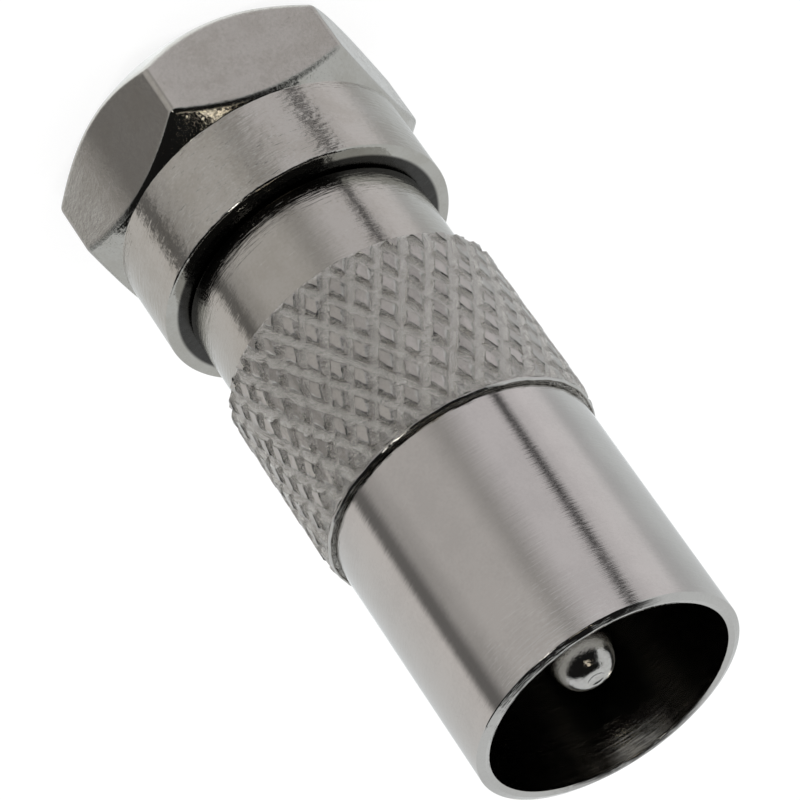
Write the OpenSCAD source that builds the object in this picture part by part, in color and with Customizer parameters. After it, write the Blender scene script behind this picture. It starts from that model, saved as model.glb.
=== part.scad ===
// Coaxial adapter: F plug with a free-turning nut at one end, 9.5 mm aerial plug at the other.
// It stands on the front face of its nut, with the mouth of the aerial plug at the top.
// The origin is the centre of the nut's front face and +Z runs along the axis to the mouth.

/* [Coupling nut] */
// Bore at the roots of the 3/8-32 thread
thread_d = 9.525; // [9.5:0.025:9.6]
// Width of the countersink at the thread's mouth
thread_countersink = 0.2; // [0.1:0.01:0.25]
// Thickness of the wall between the thread's roots and a flat of the hexagon
flat_wall = 0.69; // [0.66:0.01:0.8]
// Thickness of the round collar outside the thread's roots
collar_wall = 0.59; // [0.45:0.01:0.61]
// Width of the front face outside the thread's roots
face_wall = 0.54; // [0.4:0.01:0.6]
// Length of the whole nut
nut_length = 6.9; // [6.7:0.05:7.3]
// Length of the hexagon, from the front face to the collar
hex_length = 3.75; // [3.5:0.05:4]
// Slope of the chamfer in front of the hexagon, from the front face
front_chamfer_angle = 45; // [35:1:50]
// Slope of the chamfer behind the hexagon, from the front face
rear_chamfer_angle = 38; // [30:1:42]
// Width of the broken edge at the collar's rear
collar_edge = 0.12; // [0.05:0.01:0.2]
// Thickness of the inner lip that rides behind the post's flange
lip_length = 1.25; // [1:0.05:1.5]

/* [Retaining post] */
// Radial gap between the post's flange and the thread's roots
flange_gap = 0.56; // [0.5:0.02:0.7]
// Width of the flange's step outside the shank
flange_step = 0.7; // [0.4:0.02:0.8]
// Thickness of the flange
flange_length = 0.8; // [0.6:0.05:1.1]
// Thickness of the post's wall
post_wall = 0.8; // [0.5:0.05:1.2]
// Length of the shank that is pressed into the body
shank_press_length = 3; // [2:0.1:3.3]
// Width of the broken edges on the flange and the shank
post_edge = 0.1; // [0.05:0.01:0.2]

/* [Knurled body] */
// Thickness of the neck's wall around the post
neck_wall = 1; // [0.8:0.02:1.2]
// Length of the neck between the nut and the knurl
neck_length = 3.6; // [3.4:0.05:4.2]
// Width of the broken edge at the neck's front
neck_edge = 0.1; // [0.05:0.01:0.2]
// Height of the knurl's crests above the plug's shell
knurl_rise = 0.29; // [0.25:0.01:0.45]
// Depth of the knurl's grooves
knurl_depth = 0.13; // [0.08:0.01:0.16]
// Number of diamonds around the knurl
knurl_count = 32; // [28:1:34]
// Rows of whole diamonds along the knurl
knurl_rows = 4; // [3:1:4]
// Length of one diamond along the axis
knurl_pitch = 1.625; // [1.5:0.025:1.8]
// Half of a groove's flat floor, as a share of the spacing of the grooves
groove_share = 0.12; // [0.08:0.01:0.16]
// Distance from a groove's middle to a crest's edge, as a share of the same spacing
crest_share = 0.3; // [0.24:0.01:0.36]
// Turn of the knurl from the hexagon's corner, in degrees
knurl_turn = 0.4; // [-5.6:0.1:5.6]
// Length of the chamfer at each end of the knurl
knurl_edge = 0.1; // [0.06:0.01:0.2]
// Width of the step behind the post, where the body's open space begins
cavity_step = 0.5; // [0.2:0.05:0.8]

/* [Plug shell] */
// Outer diameter of the shell
shell_d = 9.5; // [9.4:0.01:9.55]
// Thickness of the shell's wall at its mouth
shell_wall = 0.44; // [0.36:0.01:0.55]
// Length of the shell in front of the knurl
shell_length = 9.3; // [9:0.05:9.8]
// Width of the chamfer on the rim, across the wall
rim_chamfer_width = 0.25; // [0.1:0.01:0.3]
// Depth of the chamfer on the rim, along the axis
rim_chamfer_depth = 0.11; // [0.05:0.01:0.3]
// Fall of the rim towards the bore, inside its crest
rim_fall = 0.06; // [0.02:0.01:0.1]
// Width of the shoulder between the shell and its spigot
spigot_step = 0.65; // [0.5:0.05:0.8]
// Length of the spigot that is pressed into the body
spigot_length = 3.3; // [2.8:0.1:3.5]
// Thickness of the spigot's wall around the rear insulator
spigot_wall = 0.7; // [0.4:0.05:0.8]
// Thickness of the shell's floor in front of the body
floor_length = 0.3; // [0.2:0.05:0.5]
// Width of the broken edge at the spigot's end
spigot_edge = 0.15; // [0.05:0.01:0.3]

/* [Contacts] */
// Diameter of the plug's centre pin
plug_pin_d = 2.36; // [2.3:0.02:2.44]
// Depth of the pin's tip behind the rim
pin_recess = 0.9; // [0.4:0.05:1.2]
// Length of the pin's rounded nose
nose_length = 1.35; // [0.8:0.05:1.5]
// Small flat at the nose's end, as a share of the pin's diameter
nose_flat_share = 0.3; // [0.25:0.01:0.4]
// Dimple in the nose, as a share of the pin's diameter
dimple_share = 0.24; // [0.1:0.01:0.24]
// Depth of the dimple
dimple_depth = 0.12; // [0.08:0.01:0.25]
// Height of the pin's thicker part, which its insulator grips
pin_grip_step = 0.22; // [0.18:0.01:0.3]
// Height of the shoulder behind that part
shoulder_step = 0.2; // [0.1:0.01:0.4]
// Length of the shoulder
shoulder_length = 0.8; // [0.5:0.1:1.2]
// Length of the pin behind the shoulder
tail_length = 0.8; // [0.5:0.1:1.5]
// Diameter of the needle that enters the socket at the nut's end
needle_d = 1; // [0.8:0.02:1.1]
// Height of the needle's thicker part, which its insulator and the pin grip
needle_grip_step = 0.2; // [0.16:0.01:0.25]
// Depth of the needle's point behind the nut's front face
needle_recess = 0.4; // [0.2:0.05:1]
// Length of the needle's rounded point
needle_point_length = 0.5; // [0.4:0.05:0.8]
// Length of the needle held in the back of the pin
needle_hold_length = 3; // [2:0.1:4]

/* [Insulators] */
// Length of the front insulator in the post
front_insulator_length = 4.6; // [3:0.1:5]
// Thickness of the rear insulator's flange, which covers the shell's floor
bush_flange_length = 0.3; // [0.2:0.05:0.5]
// Width of the broken edge on each insulator
insulator_edge = 0.15; // [0.05:0.01:0.3]

/* [Clearances] */
// Radial clearance between the nut's lip and the post's shank
spin_clearance = 0.06; // [0.03:0.01:0.09]
// Axial gap on each side of the nut's lip
end_float = 0.1; // [0.05:0.01:0.15]

/* [Hidden] */
$fn = 96;

// How far a cut runs past the face that it opens
overrun = 0.5;
// Straight steps in each curved nose
nose_steps = 10;
// Sides of the nut
hex_sides = 6;

// Radii of the nut and the post, which follow the thread
thread_r = thread_d / 2;
face_r = thread_r + face_wall;
collar_r = thread_r + collar_wall;
corner_r = (thread_r + flat_wall) / cos(180 / hex_sides);
flange_r = thread_r - flange_gap;
shank_r = flange_r - flange_step;
lip_r = shank_r + spin_clearance;
post_bore_r = shank_r - post_wall;

// Radii of the body and the shell
neck_r = shank_r + neck_wall;
cavity_r = shank_r - cavity_step;
shell_r = shell_d / 2;
crest_r = shell_r + knurl_rise;
root_r = crest_r - knurl_depth;
shell_bore_r = shell_r - shell_wall;
spigot_r = shell_r - spigot_step;
seat_r = spigot_r - spigot_wall;

// Radii of the contacts
plug_pin_r = plug_pin_d / 2;
nose_flat_r = plug_pin_r * nose_flat_share;
dimple_r = plug_pin_r * dimple_share;
pin_grip_r = plug_pin_r + pin_grip_step;
shoulder_r = pin_grip_r + shoulder_step;
needle_r = needle_d / 2;
needle_grip_r = needle_r + needle_grip_step;

// Places along the axis, from the nut's front face to the mouth
lip_z = nut_length - lip_length;
flange_back_z = lip_z - end_float;
post_face_z = flange_back_z - flange_length;
neck_z = nut_length + end_float;
post_end_z = neck_z + shank_press_length;
knurl_z = neck_z + neck_length;
knurl_length = knurl_rows * knurl_pitch + 2 * knurl_edge;
body_end_z = knurl_z + knurl_length;
spigot_z = body_end_z - spigot_length;
floor_z = body_end_z + floor_length;
bush_face_z = floor_z + bush_flange_length;
mouth_z = body_end_z + shell_length;
pin_tip_z = mouth_z - pin_recess;
nose_z = pin_tip_z - nose_length;
shoulder_z = spigot_z - shoulder_length;
tail_z = shoulder_z - tail_length;
needle_end_z = tail_z + needle_hold_length;

// The knurl's lattice: two families of grooves cross, and each groove has a floor edge and a
// crest edge on both of its sides, so each diamond takes four stops from each family
stops = [groove_share, crest_share, 1 - crest_share, 1 - groove_share];
stops_per_cell = len(stops);
ring_points = knurl_count * stops_per_cell;
lattice_rings = 2 * knurl_rows * stops_per_cell;

function stop_at(i) = floor(i / stops_per_cell) + stops[i % stops_per_cell];
function on_crest(i) = i % stops_per_cell == 1 || i % stops_per_cell == 2;
function ring_point(around, r, z) =
    let (turn = 360 * around / knurl_count)
    [r * cos(turn), r * sin(turn), z];
function lattice_point(ring, i) =
    let (
        right = stop_at(i + ring),
        left = stop_at(i),
        r = on_crest(i + ring) && on_crest(i) ? crest_r : root_r
    )
    ring_point((right + left) / 2, r, knurl_edge + knurl_pitch * (right - left) / 2);
function point_index(ring, i) = ring * ring_points + i % ring_points;

// The flank at a diamond's top or bottom corner folds along the axis, and any other across it
function folds_along(ring, i) =
    let (
        right = (i + ring) % stops_per_cell,
        left = i % stops_per_cell
    )
    (right == 0 && left == 2) || (right == 2 && left == 0);
function lattice_faces(ring, i) =
    let (
        a = point_index(ring, i),
        b = point_index(ring + 1, i),
        c = point_index(ring, i + 1),
        d = point_index(ring - 1, i + 1)
    )
    folds_along(ring - 1, i) ? [[a, b, d], [b, c, d]] : [[a, b, c], [a, c, d]];

module ring_cylinder(r, z0, z1) {
    translate([0, 0, z0])
        cylinder(r = r, h = z1 - z0);
}

module lathe(outline) {
    rotate_extrude()
        polygon(outline);
}

// A closed drum with raised diamonds on its side and a chamfer at each end
module knurled_drum() {
    last = lattice_rings + 2;
    points = [
        for (i = [0 : ring_points - 1]) ring_point(stop_at(i), root_r, 0),
        for (ring = [0 : lattice_rings], i = [0 : ring_points - 1]) lattice_point(ring, i),
        for (i = [0 : ring_points - 1])
            ring_point(stop_at(i) + knurl_rows, root_r, knurl_length)
    ];
    faces = [
        [for (i = [0 : ring_points - 1]) i],
        for (i = [0 : ring_points - 1], end = [0, last - 1])
            let (
                a = point_index(end, i),
                b = point_index(end + 1, i),
                c = point_index(end + 1, i + 1),
                d = point_index(end, i + 1)
            )
            each [[a, b, c], [a, c, d]],
        for (i = [0 : ring_points - 1])
            [point_index(1, i), point_index(2, i), point_index(1, i + 1)],
        for (ring = [2 : lattice_rings], i = [0 : ring_points - 1])
            each lattice_faces(ring, i),
        for (i = [0 : ring_points - 1])
            [point_index(last - 1, i), point_index(last - 1, i + 1), point_index(last - 2, i + 1)],
        [for (i = [ring_points - 1 : -1 : 0]) last * ring_points + i]
    ];
    polyhedron(points = points, faces = faces, convexity = 4);
}

// Hexagon with a chamfer in front and behind, a round collar, and a bore that ends in a lip
module coupling_nut() {
    front_slope = tan(front_chamfer_angle);
    rear_slope = tan(rear_chamfer_angle);
    reach = corner_r + overrun;
    color("silver")
        difference() {
            union() {
                intersection() {
                    cylinder(r = corner_r, h = hex_length, $fn = hex_sides);
                    lathe([
                        [0, 0],
                        [face_r, 0],
                        [reach, (reach - face_r) * front_slope],
                        [reach, hex_length - (reach - collar_r) * rear_slope],
                        [collar_r, hex_length],
                        [0, hex_length]
                    ]);
                }
                lathe([
                    [0, hex_length / 2],
                    [collar_r, hex_length / 2],
                    [collar_r, nut_length - collar_edge],
                    [collar_r - collar_edge, nut_length],
                    [0, nut_length]
                ]);
            }
            lathe([
                [0, -overrun],
                [thread_r + thread_countersink + overrun, -overrun],
                [thread_r, thread_countersink],
                [thread_r, lip_z],
                [lip_r, lip_z],
                [lip_r, nut_length + overrun],
                [0, nut_length + overrun]
            ]);
        }
}

// Flanged tube that traps the nut and gives the face that meets the socket
module contact_post() {
    color("silver")
        lathe([
            [post_bore_r, post_face_z],
            [flange_r - post_edge, post_face_z],
            [flange_r, post_face_z + post_edge],
            [flange_r, flange_back_z],
            [shank_r, flange_back_z],
            [shank_r, post_end_z - post_edge],
            [shank_r - post_edge, post_end_z],
            [post_bore_r, post_end_z]
        ]);
}

// Smooth neck and knurled grip in one piece, bored from both ends
module knurled_body() {
    color("silver")
        difference() {
            union() {
                lathe([
                    [0, neck_z],
                    [neck_r - neck_edge, neck_z],
                    [neck_r, neck_z + neck_edge],
                    [neck_r, spigot_z],
                    [0, spigot_z]
                ]);
                translate([0, 0, knurl_z])
                    rotate([0, 0, knurl_turn])
                        knurled_drum();
            }
            ring_cylinder(shank_r, neck_z - overrun, post_end_z);
            ring_cylinder(cavity_r, post_end_z - overrun, spigot_z + overrun);
            ring_cylinder(spigot_r, spigot_z, body_end_z + overrun);
        }
}

// Thin tube of the aerial plug, on a stepped spigot
module plug_shell() {
    color("silver")
        lathe([
            [seat_r, spigot_z],
            [spigot_r - spigot_edge, spigot_z],
            [spigot_r, spigot_z + spigot_edge],
            [spigot_r, body_end_z],
            [shell_r, body_end_z],
            [shell_r, mouth_z - rim_chamfer_depth],
            [shell_r - rim_chamfer_width, mouth_z],
            [shell_bore_r, mouth_z - rim_fall],
            [shell_bore_r, floor_z],
            [seat_r, floor_z]
        ]);
}

// Centre pin with a rounded nose, a dimple in its end and a hole in its back for the needle
module plug_pin() {
    nose = [
        for (step = [0 : nose_steps])
            let (turn = 90 * step / nose_steps)
            [
                nose_flat_r + (plug_pin_r - nose_flat_r) * cos(turn),
                nose_z + nose_length * sin(turn)
            ]
    ];
    color("gainsboro")
        lathe(concat(
            [
                [needle_grip_r, tail_z],
                [pin_grip_r, tail_z],
                [pin_grip_r, shoulder_z],
                [shoulder_r, shoulder_z],
                [shoulder_r, spigot_z],
                [pin_grip_r, spigot_z],
                [pin_grip_r, bush_face_z],
                [plug_pin_r, bush_face_z]
            ],
            nose,
            [
                [dimple_r, pin_tip_z],
                [0, pin_tip_z - dimple_depth],
                [0, needle_end_z],
                [needle_grip_r, needle_end_z]
            ]
        ));
}

// Thin pin that enters the socket, pressed into the back of the centre pin
module needle() {
    point = [
        for (step = [0 : nose_steps])
            let (turn = 90 * step / nose_steps)
            [
                needle_r * sin(turn),
                needle_recess + needle_point_length * (1 - cos(turn))
            ]
    ];
    color("gainsboro")
        lathe(concat(point, [
            [needle_r, post_face_z],
            [needle_grip_r, post_face_z],
            [needle_grip_r, needle_end_z],
            [0, needle_end_z]
        ]));
}

// Plastic bush in the post, around the needle
module front_insulator() {
    end_z = post_face_z + front_insulator_length;
    color("dimgray")
        lathe([
            [needle_grip_r, post_face_z],
            [post_bore_r - insulator_edge, post_face_z],
            [post_bore_r, post_face_z + insulator_edge],
            [post_bore_r, end_z - insulator_edge],
            [post_bore_r - insulator_edge, end_z],
            [needle_grip_r, end_z]
        ]);
}

// Plastic bush in the spigot, around the pin, with a flange on the shell's floor
module rear_insulator() {
    color("dimgray")
        lathe([
            [pin_grip_r, spigot_z],
            [seat_r - insulator_edge, spigot_z],
            [seat_r, spigot_z + insulator_edge],
            [seat_r, floor_z],
            [shell_bore_r, floor_z],
            [shell_bore_r, bush_face_z],
            [pin_grip_r, bush_face_z]
        ]);
}

coupling_nut();
contact_post();
knurled_body();
plug_shell();
plug_pin();
needle();
front_insulator();
rear_insulator();
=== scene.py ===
# %% [markdown]
# # A coaxial adapter, dressed for its photograph
# The adapter has an F plug with a loose hexagonal nut at one end and a slim aerial plug at the
# other. The solids come from the CAD model, already at their real size and place. This script
# turns the visible metal again with finer edges, gives every surface its finish, and lights it.

# %% Load the solids
import bpy
import bmesh
from math import atan2, cos, pi, radians, sin, tan
from mathutils import Matrix, Vector, noise


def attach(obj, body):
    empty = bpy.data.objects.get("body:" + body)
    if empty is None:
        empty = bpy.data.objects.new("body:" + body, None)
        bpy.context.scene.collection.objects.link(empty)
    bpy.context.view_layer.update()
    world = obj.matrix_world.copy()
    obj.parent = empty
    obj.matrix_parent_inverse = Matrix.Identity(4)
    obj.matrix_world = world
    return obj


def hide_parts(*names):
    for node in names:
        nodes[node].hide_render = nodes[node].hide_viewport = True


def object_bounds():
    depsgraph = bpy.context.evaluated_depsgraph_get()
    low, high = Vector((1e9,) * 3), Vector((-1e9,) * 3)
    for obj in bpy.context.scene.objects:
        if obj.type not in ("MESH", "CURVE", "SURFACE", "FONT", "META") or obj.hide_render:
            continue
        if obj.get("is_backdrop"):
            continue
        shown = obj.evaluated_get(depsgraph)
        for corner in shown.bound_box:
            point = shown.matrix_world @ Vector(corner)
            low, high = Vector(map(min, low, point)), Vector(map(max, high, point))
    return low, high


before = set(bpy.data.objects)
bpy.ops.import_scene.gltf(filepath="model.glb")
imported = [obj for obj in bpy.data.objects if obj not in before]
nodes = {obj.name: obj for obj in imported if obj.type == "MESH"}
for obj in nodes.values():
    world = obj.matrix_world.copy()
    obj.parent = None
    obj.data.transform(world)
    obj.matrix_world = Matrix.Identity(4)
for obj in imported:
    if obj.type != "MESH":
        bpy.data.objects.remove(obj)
cad_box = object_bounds()
print("solids:", ", ".join(sorted(nodes)))

# %% [markdown]
# ## Sizes
# The CAD model gives these sizes in millimetres, and Blender works in metres. Each value is
# kept in millimetres here, because that is how a turner would read it, and is scaled in the one
# place where a mesh is finished.

# %% The adapter's sizes, in millimetres
MM = 0.001
NUT_LENGTH = 6.9
HEX_LENGTH = 3.75
FLAT_R = 5.4525
CORNER_R = FLAT_R / cos(pi / 6)
FACE_R = 5.3025
COLLAR_R = 5.3525
THREAD_R = 4.7625
THREAD_PITCH = 25.4 / 32
LIP_Z = 5.65
LIP_R = 3.5625
NECK_R = 4.5025
NECK_Z = 7.0
KNURL_Z = 10.6
KNURL_END_Z = 17.3
CREST_R = 5.04
KNURL_COUNT = 32
KNURL_PITCH = 1.625
KNURL_EDGE = 0.1
KNURL_TURN = 0.4
SHELL_R = 4.75
SHELL_BORE_R = 4.31
SPIGOT_R = 4.1
SPIGOT_Z = 14.0
SEAT_R = 3.4
FLOOR_Z = 17.6
BUSH_FACE_Z = 17.9
MOUTH_Z = 26.6
PIN_R = 1.18
PIN_TIP_Z = 25.7
PIN_GRIP_R = 1.4
PIN_TAIL_Z = 12.4
print("length", MOUTH_Z, "mm, across the flats", round(2 * FLAT_R, 2), "mm")

# %% [markdown]
# ## Camera
# The photograph looks down on the mouth of the aerial plug from close by, with the adapter lying
# across the picture. The camera circles a point on the axis: an azimuth from +X, a height above
# the horizon, a distance, and then a roll about its own line of sight. The numbers come from
# fitting the outlines of the adapter in the photograph.

# %% Set the camera
AIM = Vector((0.0112, 0.0844, 13.2449)) * MM
AZIMUTH, ELEVATION, ROLL = radians(-7.5368), radians(31.328), radians(145.331)
DISTANCE = 155.2246 * MM
LENS = 214.608
back = Vector((cos(ELEVATION) * cos(AZIMUTH), cos(ELEVATION) * sin(AZIMUTH), sin(ELEVATION)))
level = Vector((0, 0, 1)).cross(back).normalized()
upright = back.cross(level)
turn = Matrix((level, upright, back)).transposed() @ Matrix.Rotation(ROLL, 3, "Z")
camera = bpy.data.objects.new("camera", bpy.data.cameras.new("camera"))
bpy.context.scene.collection.objects.link(camera)
camera.matrix_world = Matrix.Translation(AIM + back * DISTANCE) @ turn.to_4x4()
camera.data.sensor_width = 36
camera.data.lens = LENS
camera.data.clip_start, camera.data.clip_end = 0.001, 20
bpy.context.scene.camera = camera
print("camera at", [round(v / MM, 1) for v in camera.location], "mm")

# %% [markdown]
# ## A small language for shader nodes
# A material is a graph of nodes, and graphs are hard to read in code. Here a `Wire` holds one
# output socket, and writing `a * b + 0.5` adds the Math nodes and links that work it out. Every
# other node comes from `Wire.node`, which takes the node's type, its settings and its inputs.

# %% Wires
class Wire:
    def __init__(self, tree, socket=None):
        self.tree = tree
        self.socket = socket

    def node(self, kind, settings=None, inputs=None, output=0):
        made = self.tree.nodes.new("ShaderNode" + kind)
        for name, value in (settings or {}).items():
            if name == "stops":
                ramp = made.color_ramp
                while len(ramp.elements) < len(value):
                    ramp.elements.new(0.5)
                for stop, (place, colour) in zip(ramp.elements, value):
                    stop.position = place
                    stop.color = colour
            else:
                setattr(made, name, value)
        for name, value in (inputs or {}).items():
            if isinstance(value, Wire):
                self.tree.links.new(value.socket, made.inputs[name])
            else:
                made.inputs[name].default_value = value
        return Wire(self.tree, made.outputs[output])

    def sums(self, operation, *values):
        is_vector = any(isinstance(v, Wire) and v.socket.type == "VECTOR" for v in values)
        kind = "VectorMath" if is_vector else "Math"
        if is_vector:
            values = [(v,) * 3 if isinstance(v, (int, float)) else v for v in values]
        return self.node(kind, {"operation": operation}, dict(enumerate(values)))

    def __add__(self, other):
        return self.sums("ADD", self, other)

    def __radd__(self, other):
        return self.sums("ADD", other, self)

    def __sub__(self, other):
        return self.sums("SUBTRACT", self, other)

    def __rsub__(self, other):
        return self.sums("SUBTRACT", other, self)

    def __mul__(self, other):
        return self.sums("MULTIPLY", self, other)

    def __rmul__(self, other):
        return self.sums("MULTIPLY", other, self)

    def __truediv__(self, other):
        return self.sums("DIVIDE", self, other)

    def split(self):
        """The three numbers of a vector."""
        parts = self.node("SeparateXYZ", inputs={0: self}).socket.node
        return [Wire(self.tree, number) for number in parts.outputs]

    def step(self, low, high, at_low=0.0, at_high=1.0):
        """A soft step: at_low up to low, at_high from high on."""
        return self.node("MapRange", {"interpolation_type": "SMOOTHSTEP"},
                         {0: self, 1: low, 2: high, 3: at_low, 4: at_high})

    def mixed(self, first, second):
        """The colour first where this wire is 0, and second where it is 1."""
        return self.node("Mix", {"data_type": "RGBA"}, {0: self, 6: first, 7: second}, 2)


def srgb(red, green, blue):
    """A colour read off a screen, as the linear values that a shader takes."""
    return tuple(((v / 255 + 0.055) / 1.055) ** 2.4 for v in (red, green, blue)) + (1.0,)


print("mid grey is", round(srgb(128, 128, 128)[0], 3))

# %% [markdown]
# ## The studio
# Bright plating shows little of its own: what is seen is the room, wrapped round the metal. Such
# parts are photographed in a white tent with dark seams and an opening for the lens. The tent is
# described here as cloth between two angles, with the seams and openings between. A level is
# written as the grey, 0 to 255, that the plating shows when it mirrors the cloth, because that
# is what a photographer would judge.

# %% Describe the tent
PLATING_LEVEL = 0.54
FRONT_HALF, FRONT_FADE = 95, 30
PINK, YELLOWISH, BLUISH = 1.04, 0.975, 1.02
SIDE_RED, SIDE_BLUE = 0.97, 1.01
# Name, start and end in degrees round the adapter from the camera's side, and level
TENT = [
    ("opening behind", -180, -180, 215),
    ("left wall", -165, -89, 171),
    ("left seam", -82, -74, 88),
    ("crease beside it", -65, -61, 136),
    ("front, left of the lens", -46, -8, 153),
    ("lens", 9, 9, 130),
    ("front, right of the lens", 32, 55.5, 167),
    ("right seam", 61.8, 62.8, 20),
    ("crease beside it", 69.5, 71, 165),
    ("right wall", 84, 100, 178),
    ("fold in the right wall", 110, 118, 158),
    ("end of the right wall", 132, 167, 167),
    ("opening behind", 180, 180, 215)]


def tent_colour(azimuth, grey):
    """The cloth's colour: pinkish in front and yellower on its left, neutral at the sides."""
    side = min(1, max(0, (abs(azimuth) - FRONT_HALF) / FRONT_FADE))
    front_blue = BLUISH if azimuth > 10 else YELLOWISH
    red = PINK * (1 - side) + SIDE_RED * side
    blue = front_blue * (1 - side) + SIDE_BLUE * side
    bright = srgb(grey, grey, grey)[0] / PLATING_LEVEL
    return (bright * red, bright, bright * blue, 1)


print("tent:", len(TENT), "parts round the adapter")

# %% [markdown]
# ## Paint the tent on the world
# The world is painted by direction. The angle round the adapter picks the walls' level from a
# ramp, and the seams lean a little, which is why fine turned lines break their reflections into
# hairs. The cloth is even higher up, and the table below is bright. On the camera's side the room
# behind it is dark down to the horizon, and three small lamps hang in it.

# %% Hang the walls, the upper cloth and the table
SWING = radians(7.5)
LEAN_LEFT, LEAN_RIGHT, LEAN_FADE = -0.42, 0.85, 0.6
TABLE_GREY, SEAM_GREY, FAR_CLOTH_GREY, NEAR_CLOTH_GREY = 225, 105, 172, 190


def sine(degrees):
    return sin(radians(degrees))


def cosine(degrees):
    return cos(radians(degrees))


world = bpy.data.worlds.new("tent")
bpy.context.scene.world = world
world.use_nodes = True
world.node_tree.nodes.clear()
sky = Wire(world.node_tree)
ray = sky.node("TexCoord", output="Generated")
east, north, up = sky.node(
    "VectorRotate", {"rotation_type": "Z_AXIS"}, {"Vector": ray, "Angle": SWING}).split()
around = sky.sums("ARCTAN2", north * -1.0, east)
in_front = sky.sums("COSINE", around).step(-0.8, -0.25)
lean = around.step(-LEAN_FADE, LEAN_FADE, LEAN_LEFT, LEAN_RIGHT) * in_front
leaning = around + (up + sin(ELEVATION)) * lean
stops = sorted({(angle, grey) for _, start, end, grey in TENT for angle in (start, end)})
walls = sky.node("ValToRGB", {"stops": [(a / 360 + 0.5, tent_colour(a, grey)) for a, grey in stops]},
                 {0: leaning / (2 * pi) + 0.5})
table = up.step(sine(-68), sine(-50)).mixed(tent_colour(180, TABLE_GREY), walls)
toward_room = sky.sums("COSINE", around - radians(-20))
cloth = toward_room.step(0, 0.6).mixed(
    tent_colour(180, FAR_CLOTH_GREY), tent_colour(180, NEAR_CLOTH_GREY))
upper_seam = around.step(radians(-94), radians(-84)) * around.step(radians(-68), radians(-56), 1.0, 0.0)
upper_cloth = upper_seam.mixed(cloth, tent_colour(180, SEAM_GREY))
tent = up.step(sine(-19), sine(-11)).mixed(table, upper_cloth)
print("walls painted with", len(stops), "stops")

# %% [markdown]
# The dark room starts at the horizon on the camera's side and high up on the far side. A lamp is
# a small round spot in it. The camera itself sees plain white, and so do matt surfaces, which
# keeps their colours as written.

# %% Darken the room and hang the lamps
ROOM = (0.012, 0.012, 0.012, 1)
NEAR_EDGE, FAR_EDGE = sine(-10), sine(57)
EDGE_SOFT = 0.06
SPOT_INSIDE, SPOT_OUTSIDE = 0.4, 1.4
# Height, side and spread in degrees, and colour
LAMPS = [(57, 8, 4, (2.2, 2.0, 1.65, 1)), (12, -18, 5, (6.5, 6.4, 6.0, 1)), (69, 20, 4.5, (2.6, 2.3, 1.8, 1))]
edge = toward_room.step(cosine(102), cosine(62), FAR_EDGE, NEAR_EDGE)
mirrored = (up - edge).step(-EDGE_SOFT, EDGE_SOFT).mixed(tent, ROOM)
for height, side, spread, colour in LAMPS:
    near = (east * (cosine(height) * cosine(side)) + north * (cosine(height) * -sine(side))
            + up * sine(height))
    spot = near.step(cosine(spread * SPOT_OUTSIDE), cosine(spread * SPOT_INSIDE))
    mirrored = spot.mixed(mirrored, colour)
soft = sky.node("LightPath", output="Is Diffuse Ray").mixed(mirrored, (0.95, 0.95, 0.95, 1))
seen = sky.node("LightPath", output="Is Camera Ray").mixed(soft, (1, 1, 1, 1))
background = sky.node("Background", inputs={0: seen})
sky.tree.links.new(background.socket, sky.tree.nodes.new("ShaderNodeOutputWorld").inputs[0])
print("room darkened, with", len(LAMPS), "lamps")

# %% [markdown]
# ## The floor
# The adapter stands on its nut on a plain pale floor. The camera sees it white, but for the
# adapter's own soft shadow: a diffuse part takes the shadow, and a glow that only the camera
# sees lifts the rest to white. Reflections pass through it, so that the plating mirrors the tent
# on all sides, as it does in the photograph, where the adapter lies among white cloth.

# %% Helpers for objects and materials
def plain_mesh(name, mesh):
    """Turn a bmesh into an object at the origin."""
    data = bpy.data.meshes.new(name)
    mesh.to_mesh(data)
    mesh.free()
    piece = bpy.data.objects.new(name, data)
    bpy.context.scene.collection.objects.link(piece)
    return piece


def blank_material(name):
    """A material with an empty graph, and the wire that starts it."""
    material = bpy.data.materials.new(name)
    material.use_nodes = True
    material.node_tree.nodes.clear()
    return material, Wire(material.node_tree)


def give_surface(wire, shader):
    surface = wire.tree.nodes.new("ShaderNodeOutputMaterial")
    wire.tree.links.new(shader.socket, surface.inputs[0])


# %% Lay the floor
FLOOR_HALF = 3
GLOW = 0.85
pale, wire = blank_material("pale_floor")
grain = wire.node("TexNoise", inputs={"Vector": wire.node("TexCoord", output="Object"), "Scale": 40})
matt = wire.node("BsdfDiffuse", inputs={0: grain.mixed((0.21, 0.21, 0.21, 1), (0.23, 0.23, 0.23, 1))})
lift = wire.node("Emission", inputs={0: (1, 1, 1, 1), 1: GLOW})
white = wire.node("AddShader", inputs={0: matt, 1: lift})
plain = wire.node("BsdfDiffuse", inputs={0: (0.8, 0.8, 0.8, 1)})
for_camera = wire.node("MixShader", inputs={
    0: wire.node("LightPath", output="Is Camera Ray"), 1: plain, 2: white})
reflected = wire.sums("MAXIMUM", wire.node("LightPath", output="Is Glossy Ray"),
                      wire.node("LightPath", output="Is Transmission Ray"))
give_surface(wire, wire.node("MixShader", inputs={
    0: reflected, 1: for_camera, 2: wire.node("BsdfTransparent")}))

ground = bmesh.new()
bmesh.ops.create_grid(ground, x_segments=2, y_segments=2, size=FLOOR_HALF)
floor = plain_mesh("floor", ground)
floor.data.materials.append(pale)
floor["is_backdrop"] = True
print("floor laid at z = 0")

# %% [markdown]
# ## Patterns in metal
# Every pattern reads the object's own coordinates in millimetres. A noise that is squeezed along
# the axis gives turned lines without a seam, where a pattern on the angle would have one.

# %% Patterns
def millimetres(wire):
    return wire.node("TexCoord", output="Object") * 1000


def noise_at(place, scale, detail=2.0, roughness=0.5):
    return place.node("TexNoise", inputs={
        "Vector": place, "Scale": scale, "Detail": detail, "Roughness": roughness})


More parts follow.
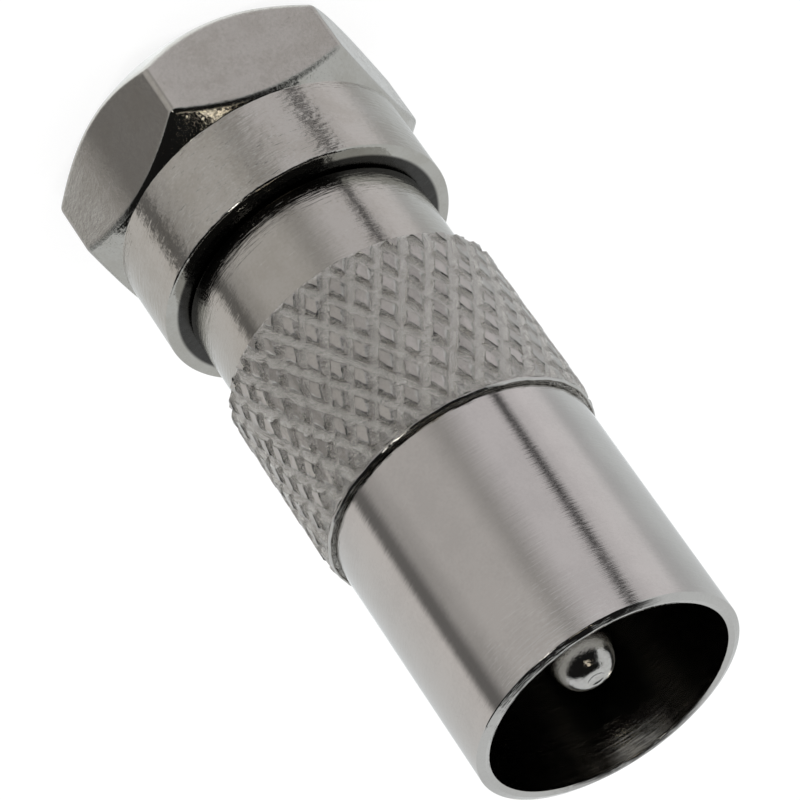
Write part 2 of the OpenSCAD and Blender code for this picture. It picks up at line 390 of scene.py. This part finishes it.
def turned_lines(place, per_mm, sideways=0.25, detail=3.0):
    """Lines round the axis, with about this many to a millimetre."""
    return noise_at(place * (sideways, sideways, per_mm), 1.0, detail, 0.6)


def radius_of(place):
    """The distance from the axis."""
    east, north, _ = place.split()
    return place.sums("SQRT", east * east + north * north)


print("patterns: noise, turned lines, distance from the axis")

# %% [markdown]
# ## The plating
# Every metal piece is nickel-plated brass, and what tells them apart is how they were worked.
# Turned faces carry fine lines round the axis, bar stock carries a pitted grain, and the knurl
# is pressed and rough. One recipe takes these as numbers.

# %% The recipe for plated metal
def plating(name, tint, stain, rough, rough_spread, height_of, spots=0.6, painted_inside=(0, 0.02, 0, 0)):
    """Nickel of this tint with faint stains. height_of(place) gives the relief in millimetres.
    Nearer to the axis than painted_inside's radius, over its soft width, the colour takes
    painted_inside's painted level instead, and the metal is rougher by its last number."""
    material, wire = blank_material(name)
    place = millimetres(wire)
    fine = noise_at(place, 9.0, 3.0, 0.6)
    cloud = (noise_at(place, spots, 4.0, 0.6) + (fine - 0.5) * 0.5).step(0.35, 0.7)
    # Near the axis the colour is painted: darker as shade in a bore or recess, lighter in the knurl's grooves
    radius, soft, painted_level, more_rough = painted_inside
    outer_share = radius_of(place).step(radius, radius + soft)
    least_rough = outer_share.step(0, 1, rough + more_rough, rough)
    metal = wire.node("BsdfPrincipled", inputs={
        "Metallic": 1.0,
        "Base Color": outer_share.mixed((painted_level, painted_level * 0.97, painted_level * 0.92, 1), cloud.mixed(tint, stain)),
        "Roughness": (cloud * 0.5 + fine * 0.5) * rough_spread + least_rough,
        "Normal": wire.node("Bump", inputs={
            "Strength": 1.0, "Distance": MM, "Height": height_of(place)})})
    give_surface(wire, metal)
    return material


print("recipe ready: tint, stain, roughness, relief and dull inside")

# %% [markdown]
# ## Reliefs
# Each function gives the height of one worked surface, in millimetres: a few hundredths for what
# a tool leaves, and a few thousandths for what polishing leaves.

# %% Reliefs of the worked surfaces
def lathe_marks(place, deep):
    """Fine lines and a few deeper ones."""
    fine = turned_lines(place, 30, 1.6, 2.0)
    broad = turned_lines(place, 11, 0.8, 1.0)
    return (fine * 0.5 + broad * 0.7) * deep


def pits(place, low, high, deep):
    """Scattered pits between two heights, as on a chamfer that was never polished."""
    height = place.split()[2]
    band = height.step(low - 0.02, low + 0.02) * height.step(high - 0.02, high + 0.02, 1.0, 0.0)
    return noise_at(place, 16, 2, 0.6).step(0.58, 0.95) * band * deep


def shell_relief(place):
    """Turned lines along the tube, and rougher ones round its chamfer, where the tool rubbed."""
    east, north, height = place.split()
    across = place.node("CombineXYZ", inputs={0: east * 1.5, 1: north * 1.5, 2: radius_of(place) * 22})
    rubbed = noise_at(across, 1.0, 2, 0.6) * height.step(MOUTH_Z - 0.12, MOUTH_Z - 0.1)
    here_and_there = noise_at(place, 1.3, 2).step(0.45, 0.6, 0.005, 0.016)
    return lathe_marks(place, 0.007) + rubbed * here_and_there


def neck_relief(place):
    coarse = turned_lines(place, 7, 2.0, 1.0) * 0.006
    return lathe_marks(place, 0.01) + coarse + noise_at(place, 3.0, 4) * 0.006


def nut_relief(place):
    """Coarse turning, dents from handling, and pits on the chamfer behind the hexagon."""
    dents = noise_at(place, 3.5, 4) * 0.008 + noise_at(place, 12, 2) * 0.002
    coarse = turned_lines(place, 8, 2.2, 1.0) * 0.016
    return lathe_marks(place, 0.011) + coarse + dents + pits(place, 2.6, HEX_LENGTH, 0.009)


def flat_relief(place):
    """Drawn bar is smooth in places and grainy in others."""
    north = place.split()[1]
    grainy = north.step(2.6, 4.8) + north.step(-0.5, 0.0, 0.3, 0.0)
    return (noise_at(place, 7, 5, 0.7) - 0.5) * (grainy * 0.036 + 0.007)


def knurl_relief(place):
    """Coarse grain in the grooves and on the flanks, where the metal was torn, and little on top."""
    return (noise_at(place, 9.5, 4, 0.7) - 0.5) * radius_of(place).step(4.98, 5.02, 0.08, 0.014)


def contact_relief(place):
    return noise_at(place, 2.6, 5, 0.7) * 0.02


print("reliefs: shell, neck, nut, flats, knurl and contact")

# %% [markdown]
# ## Finishes
# The shell's plating is the lightest and the nut's is a little yellower. Inside the shell, and in
# the nut's bore and the recess behind the hexagon, painted shade makes the colour darker, near
# black on the nut; in the knurl's grooves the colour is painted lighter. All three are rougher there.

# %% Mix the finishes
NICKEL, STAINED_NICKEL = (0.565, 0.551, 0.533, 1), (0.53, 0.517, 0.5, 1)
WARM_NICKEL, STAINED_WARM = (0.495, 0.483, 0.453, 1), (0.45, 0.435, 0.4, 1)
NECK_STAIN = (0.46, 0.445, 0.41, 1)
PRESSED_NICKEL, STAINED_PRESSED = (0.49, 0.475, 0.452, 1), (0.45, 0.437, 0.413, 1)
# The shell's bore and floor are painted a little darker than its outside, as shade
shell_finish = plating("turned_shell", NICKEL, STAINED_NICKEL, 0.05, 0.05, shell_relief,
                       painted_inside=(SHELL_BORE_R + 0.01, 0.02, 0.54, 0.03))
neck_finish = plating("turned_body", WARM_NICKEL, NECK_STAIN, 0.06, 0.07, neck_relief)
# The knurl's grooves and lower flanks are painted lighter than its tops
knurl_finish = plating("pressed_knurl", PRESSED_NICKEL, STAINED_PRESSED, 0.11, 0.1, knurl_relief,
                       painted_inside=(4.95, 0.06, 0.64, 0.04))
# Nearer the axis than 4.86 mm the nut is painted near black as shade: its bore and the ring round the neck at
# its back
collar_finish = plating("turned_nut", WARM_NICKEL, STAINED_WARM, 0.045, 0.05, nut_relief, 0.9,
                        painted_inside=(4.86, 0.14, 0.05, 0.2))
flat_finish = plating("bar_stock", WARM_NICKEL, STAINED_WARM, 0.1, 0.1, flat_relief, 0.9)
contact_finish = plating("polished_contact", NICKEL, WARM_NICKEL, 0.04, 0.04, contact_relief)
print("six finishes of plating")

# %% [markdown]
# ## Turned pieces
# A lathe makes most of this object, and `bmesh.ops.spin` is a lathe: it sweeps a profile of
# radius and height once round the axis. Real edges are never quite sharp, and a sharp one looks
# false because it catches no light. So each corner of a profile may have a small radius.

# %% The lathe
def softened(corners, steps=4):
    """The profile's points, with an arc at each corner (radius, height, round) that has one."""
    points = []
    for index, (r, z, soft) in enumerate(corners):
        here = Vector((r, z))
        before = Vector(corners[index - 1][:2]) - here
        after = Vector(corners[(index + 1) % len(corners)][:2]) - here
        if not soft:
            points.append(tuple(here))
            continue
        start = here + before.normalized() * soft
        end = here + after.normalized() * soft
        for step in range(steps + 1):
            share = step / steps
            points.append(tuple(start.lerp(here, share).lerp(here.lerp(end, share), share)))
    return points


def spun(points, steps=192, ring=True):
    """Sweep a profile of (radius, height) in millimetres once round the axis."""
    mesh = bmesh.new()
    corners = [mesh.verts.new((r * MM, 0, z * MM)) for r, z in points]
    pairs = list(zip(corners, corners[1:]))
    if ring:
        pairs.append((corners[-1], corners[0]))
    edges = [mesh.edges.new(pair) for pair in pairs]
    bmesh.ops.spin(mesh, geom=corners + edges, cent=(0, 0, 0), axis=(0, 0, 1), angle=2 * pi,
                   steps=steps, use_merge=True)
    bmesh.ops.remove_doubles(mesh, verts=mesh.verts, dist=1e-7)
    bmesh.ops.recalc_face_normals(mesh, faces=mesh.faces)
    return mesh


def put(mesh, name, body, material, replaced=(), sharp=26, second=None):
    """Make the finished piece, shaded smooth up to this angle, and say what it rides on."""
    if mesh.calc_volume(signed=True) < 0:
        bmesh.ops.reverse_faces(mesh, faces=mesh.faces)
    for edge in mesh.edges:
        edge.smooth = edge.calc_face_angle(0) < radians(sharp)
    for face in mesh.faces:
        face.smooth = True
    piece = plain_mesh(name, mesh)
    piece.data.materials.append(material)
    if second:
        piece.data.materials.append(second)
    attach(piece, body)
    if replaced:
        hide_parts(*replaced)
    print(name, "has", len(piece.data.polygons), "faces")
    return piece


# %% [markdown]
# ## The aerial plug's shell
# It is a thin tube, open at the mouth, with a narrow bright rim and a chamfer outside it. A floor
# inside carries the plastic bush, and a spigot below is pressed into the knurled body.

# %% Turn the shell
shell = spun(softened([
    (SEAT_R, SPIGOT_Z, 0), (SPIGOT_R, SPIGOT_Z, 0.1), (SPIGOT_R, KNURL_END_Z, 0),
    (SHELL_R, KNURL_END_Z, 0.08), (SHELL_R, MOUTH_Z - 0.11, 0.03), (SHELL_R - 0.25, MOUTH_Z, 0.03),
    (SHELL_BORE_R, MOUTH_Z - 0.06, 0.02), (SHELL_BORE_R, FLOOR_Z, 0.1), (SEAT_R, FLOOR_Z, 0.03)]))
put(shell, "shell_turned", "adapter", shell_finish, ["plug_shell"])

# %% [markdown]
# ## The neck
# The body is one piece of metal with two very different surfaces. The neck is turned here with
# its fine edges, and runs a little way under the knurl.

# %% Turn the neck
NECK_INSIDE_R, NECK_OVERLAP = 3.5, 0.3
neck = spun(softened([
    (NECK_INSIDE_R, NECK_Z, 0), (NECK_R, NECK_Z, 0.1), (NECK_R, KNURL_Z + NECK_OVERLAP, 0),
    (NECK_INSIDE_R, KNURL_Z + NECK_OVERLAP, 0)]))
put(neck, "neck_turned", "adapter", neck_finish)

# %% [markdown]
# ## The knurl
# The diamonds are already cut in the solid, so a copy of it is used. Its loose triangles are
# merged and joined into four-sided faces, and each of those is split in nine.

# %% Split the knurl's faces
SKIN_R = 4.85


def skin_faces():
    """The faces of the knurl's outside."""
    return [face for face in knurl.faces if min(v.co.xy.length for v in face.verts) > SKIN_R * MM
            and abs(face.normal.z) < 0.9]


knurl = bmesh.new()
knurl.from_mesh(nodes["knurled_body"].data)
bmesh.ops.remove_doubles(knurl, verts=knurl.verts, dist=1e-7)
bmesh.ops.bisect_plane(knurl, geom=knurl.verts[:] + knurl.edges[:] + knurl.faces[:], dist=1e-8,
                       plane_co=(0, 0, (KNURL_Z - 0.001) * MM), plane_no=(0, 0, 1), clear_inner=True)
bmesh.ops.join_triangles(knurl, faces=skin_faces(), angle_face_threshold=radians(12),
                         angle_shape_threshold=pi)
skin = set(skin_faces())
edges = [edge for edge in knurl.edges if any(face in skin for face in edge.link_faces)]
bmesh.ops.subdivide_edges(knurl, edges=edges, cuts=2, use_grid_fill=True)
print("knurl split into", len(knurl.faces), "faces")

# %% [markdown]
# Then every point of it is pushed about. A knurl is pressed, not cut, so the metal rises at the
# rim of each diamond and leaves a dish on top, and the grooves are round at the bottom. The tops
# are dragged towards the nut, all but the corner that the wheel left last, the rims are ragged,
# and the end at the mouth's side is worn down. `turns` and `climb` count diamonds round and
# along, and `away` is the distance from a diamond's middle, 0.5 in the grooves. The noise gets
# a seed, because without one it starts from the clock.

# %% Press and tear the knurl
DISH, DISH_HALF = 0.015, 0.2
SPLAY, SPLAY_FROM, SPLAY_WIDTH = 0.015, 0.38, 0.12
DRAG, TIP, TOP_HALF, ENDS = 0.09, 0.1, 0.25, 0.3
WORN, WORN_OVER, RIM_WORN = 0.14, 0.5, 0.8
RAGGED_END, RAGGED_PER_MM = 0.08, 5
noise.seed_set(1)
for vert in knurl.verts:
    height = vert.co.z / MM
    if vert.co.xy.length < SKIN_R * MM or height < KNURL_Z + 0.05:
        continue
    worn = WORN * max(0, 1 - (KNURL_END_Z - height) / WORN_OVER) ** 2
    if height > KNURL_END_Z - 0.01:
        vert.co.z += noise.noise(vert.co / MM * RAGGED_PER_MM) * RAGGED_END * MM
        vert.co.xy *= 1 - worn * RIM_WORN / CREST_R
        continue
    turns = (atan2(vert.co.y, vert.co.x) - radians(KNURL_TURN)) / (2 * pi) * KNURL_COUNT
    climb = (height - KNURL_Z - KNURL_EDGE) / KNURL_PITCH
    one_way, other_way = (turns + climb) % 1 - 0.5, (turns - climb) % 1 - 0.5
    away = max(abs(one_way), abs(other_way))
    pressed_by = DISH * max(0, 1 - away / DISH_HALF) + SPLAY * max(0, (away - SPLAY_FROM) / SPLAY_WIDTH)
    wander = noise.noise_vector(vert.co / MM * 4.1) * 0.04 + noise.noise_vector(vert.co / MM * 9) * 0.022
    outward = Vector((vert.co.x, vert.co.y, 0)).normalized()
    vert.co += (wander - outward * pressed_by) * MM
    if away < TOP_HALF and KNURL_Z + ENDS < height < KNURL_END_Z - ENDS:
        vert.co.z -= DRAG * MM
        if one_way - other_way > 0.2:
            vert.co.z += TIP * MM
    vert.co.xy *= min(1, (CREST_R - 0.005) * MM / vert.co.xy.length) - worn / CREST_R
put(knurl, "knurl_pressed", "adapter", knurl_finish, ["knurled_body"], sharp=24)

# %% [markdown]
# ## The burr
# Where the knurling wheel ran off the end, it left a thin smooth burr. It is an uneven ring, too
# thin to see but for the bright line where it catches a lamp.

# %% Leave the burr
BURR_R = 4.93
burr = spun(softened([
    (BURR_R, KNURL_END_Z - 0.06, 0), (BURR_R, KNURL_END_Z - 0.03, 0.02),
    (BURR_R - 0.035, KNURL_END_Z + 0.05, 0.015), (BURR_R - 0.09, KNURL_END_Z + 0.03, 0.02),
    (BURR_R - 0.12, KNURL_END_Z - 0.06, 0)]))
for vert in burr.verts:
    for per_mm, size in ((1.7, 0.03), (7, 0.012)):
        vert.co += noise.noise_vector(vert.co / MM * per_mm) * size * MM
put(burr, "knurl_burr", "adapter", contact_finish, sharp=60)

# %% [markdown]
# ## The coupling nut
# On a real nut the hexagon comes from the bar and the chamfers from the lathe. It is made the
# same way round here: the whole nut is turned first, wider than its corners, and then six planes
# cut the flats, so the curved edges between chamfer and flat come out by themselves.

# %% Turn the nut and cut its flats
BLANK_R = CORNER_R + 0.1
FRONT_SLOPE, REAR_SLOPE = 1.0, tan(radians(38))
nut = spun(softened([
    (THREAD_R + 0.2, 0, 0.03), (FACE_R, 0, 0.04), (BLANK_R, (BLANK_R - FACE_R) * FRONT_SLOPE, 0),
    (BLANK_R, HEX_LENGTH - (BLANK_R - COLLAR_R) * REAR_SLOPE, 0), (COLLAR_R, HEX_LENGTH, 0.03),
    (COLLAR_R, NUT_LENGTH, 0.09), (LIP_R, NUT_LENGTH, 0.05),
    (LIP_R, LIP_Z, 0), (THREAD_R, LIP_Z, 0), (THREAD_R, 0.2, 0)]))
for side in range(6):
    facing = Vector((cos(pi / 6 + side * pi / 3), sin(pi / 6 + side * pi / 3), 0))
    cut = bmesh.ops.bisect_plane(nut, geom=nut.verts[:] + nut.edges[:] + nut.faces[:], dist=1e-8,
                                 plane_co=facing * FLAT_R * MM, plane_no=facing, clear_outer=True)
    rim = [part for part in cut["geom_cut"] if isinstance(part, bmesh.types.BMEdge)]
    bmesh.ops.edgeloop_fill(nut, edges=rim)
flats = [face for face in nut.faces if len(face.verts) > 8 and abs(face.normal.z) < 0.01]
for face in flats:
    face.material_index = 1
print(len(flats), "flats cut")

# %% [markdown]
# One bevel rounds all the edges round the flats and the corners between them, as tumbling and
# plating leave them. A narrow band inside each flat's rim then keeps the flat itself shaded flat.

# %% Round the nut's edges
EDGE_ROUND, RIM_BAND = 0.14, 0.04
edges = [edge for edge in nut.edges if any(face.material_index == 1 for face in edge.link_faces)
         and edge.calc_face_angle(0) > radians(12)]
bmesh.ops.bevel(nut, geom=edges, offset=EDGE_ROUND * MM, offset_type="OFFSET", segments=4,
                profile=0.5, affect="EDGES", material=1, clamp_overlap=False)
flats = [face for face in nut.faces if face.material_index == 1 and len(face.verts) > 8]
bmesh.ops.inset_individual(nut, faces=flats, thickness=RIM_BAND * MM)
bmesh.ops.recalc_face_normals(nut, faces=nut.faces)
put(nut, "nut_worked", "nut", collar_finish, ["coupling_nut"], second=flat_finish)

# %% [markdown]
# ## The nut's thread
# The CAD model leaves the nut's bore plain at the roots of its 3/8-32 thread. The ridge is a
# blunt triangle swept along a helix: a spin that also climbs by a little at every step.

# %% Cut the thread
STEPS_A_TURN = 64
TURNS = 6
RIDGE_START_Z, RIDGE_DEPTH, RIDGE_SUNK = 0.65, 0.4, 0.05
ROOT_HALF, CREST_HALF = 0.34, 0.1
ridge = bmesh.new()
outline = [(THREAD_R + RIDGE_SUNK, ROOT_HALF), (THREAD_R - RIDGE_DEPTH, CREST_HALF),
           (THREAD_R - RIDGE_DEPTH, -CREST_HALF), (THREAD_R + RIDGE_SUNK, -ROOT_HALF)]
corners = [ridge.verts.new((r * MM, 0, (z + RIDGE_START_Z) * MM)) for r, z in outline]
edges = [ridge.edges.new(pair) for pair in zip(corners, corners[1:] + corners[:1])]
cap = ridge.faces.new(corners)
bmesh.ops.spin(ridge, geom=[cap] + edges + corners, cent=(0, 0, 0), axis=(0, 0, 1),
               dvec=(0, 0, THREAD_PITCH * MM / STEPS_A_TURN), angle=2 * pi * TURNS,
               steps=STEPS_A_TURN * TURNS)
bmesh.ops.recalc_face_normals(ridge, faces=ridge.faces)
put(ridge, "nut_thread", "nut", neck_finish)

# %% [markdown]
# ## The centre pin
# Its nose is rounded by a form tool, and the small dimple is where the tailstock held it. Below
# the bush's face, where nothing of it is seen, it is thicker and has a shoulder.

# %% Turn the pin
NOSE, NOSE_STEPS, NOSE_TIP_SHARE = 1.35, 16, 0.3
DIMPLE_R, DIMPLE_STEPS, DIMPLE_STEP, DIMPLE_DEPTH = 0.285, 6, 0.012, 0.042
SHOULDER = (0.2, 0.8)
nose = []
for k in range(NOSE_STEPS + 1):
    swept = pi / 2 * k / NOSE_STEPS
    nose.append((PIN_R * (NOSE_TIP_SHARE + (1 - NOSE_TIP_SHARE) * cos(swept)),
                 PIN_TIP_Z - NOSE + NOSE * sin(swept), 0))
dimple = []
for k in range(DIMPLE_STEPS + 1):
    out = 1 - k / DIMPLE_STEPS
    dimple.append((DIMPLE_R * out, PIN_TIP_Z - DIMPLE_STEP - DIMPLE_DEPTH * (1 - out ** 2), 0))
wide, long = SHOULDER
pin = spun(softened([
    (0, PIN_TAIL_Z, 0), (PIN_GRIP_R, PIN_TAIL_Z, 0), (PIN_GRIP_R, SPIGOT_Z - long, 0),
    (PIN_GRIP_R + wide, SPIGOT_Z - long, 0), (PIN_GRIP_R + wide, SPIGOT_Z, 0), (PIN_GRIP_R, SPIGOT_Z, 0),
    (PIN_GRIP_R, BUSH_FACE_Z, 0), (PIN_R, BUSH_FACE_Z, 0)] + nose + [(0.3, PIN_TIP_Z, 0)] + dimple),
    96, ring=False)
put(pin, "pin_turned", "adapter", contact_finish, ["plug_pin"])

# %% [markdown]
# ## What stays as it was cut
# The post, the needle and the two bushes keep their solids, and take their finishes by their
# material slots. The bushes are painted near black, as dark as the shade inside the shell, with a fine
# moulded grain.

# %% Finish the rest
# Near black, painted as dark as the shade inside the shell
bush, wire = blank_material("black_bush")
place = millimetres(wire)
give_surface(wire, wire.node("BsdfPrincipled", inputs={
    "Base Color": noise_at(place, 3).mixed((0.012, 0.012, 0.013, 1), (0.022, 0.021, 0.02, 1)),
    "Specular IOR Level": 0.2,
    "Roughness": noise_at(place, 8) * 0.2 + 0.5,
    "Normal": wire.node("Bump", inputs={
        "Strength": 1.0, "Distance": MM, "Height": noise_at(place, 15, 4) * 0.004})}))
for name, finish in (("contact_post", neck_finish), ("needle", contact_finish),
                     ("front_insulator", bush), ("rear_insulator", bush)):
    nodes[name].data.materials.clear()
    nodes[name].data.materials.append(finish)
    print(name, "is finished in", finish.name)

# %% [markdown]
# ## View and size
# The standard view transform keeps colours as they are written. The sizes of the CAD model and
# of the dressed one are written side by side.

# %% Write the sizes and finish
bpy.context.scene.view_settings.view_transform = "Standard"
size = {"cad": [list(corner) for corner in cad_box], "visual": [list(corner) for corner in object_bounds()]}
print("cad", size["cad"], "visual", size["visual"])
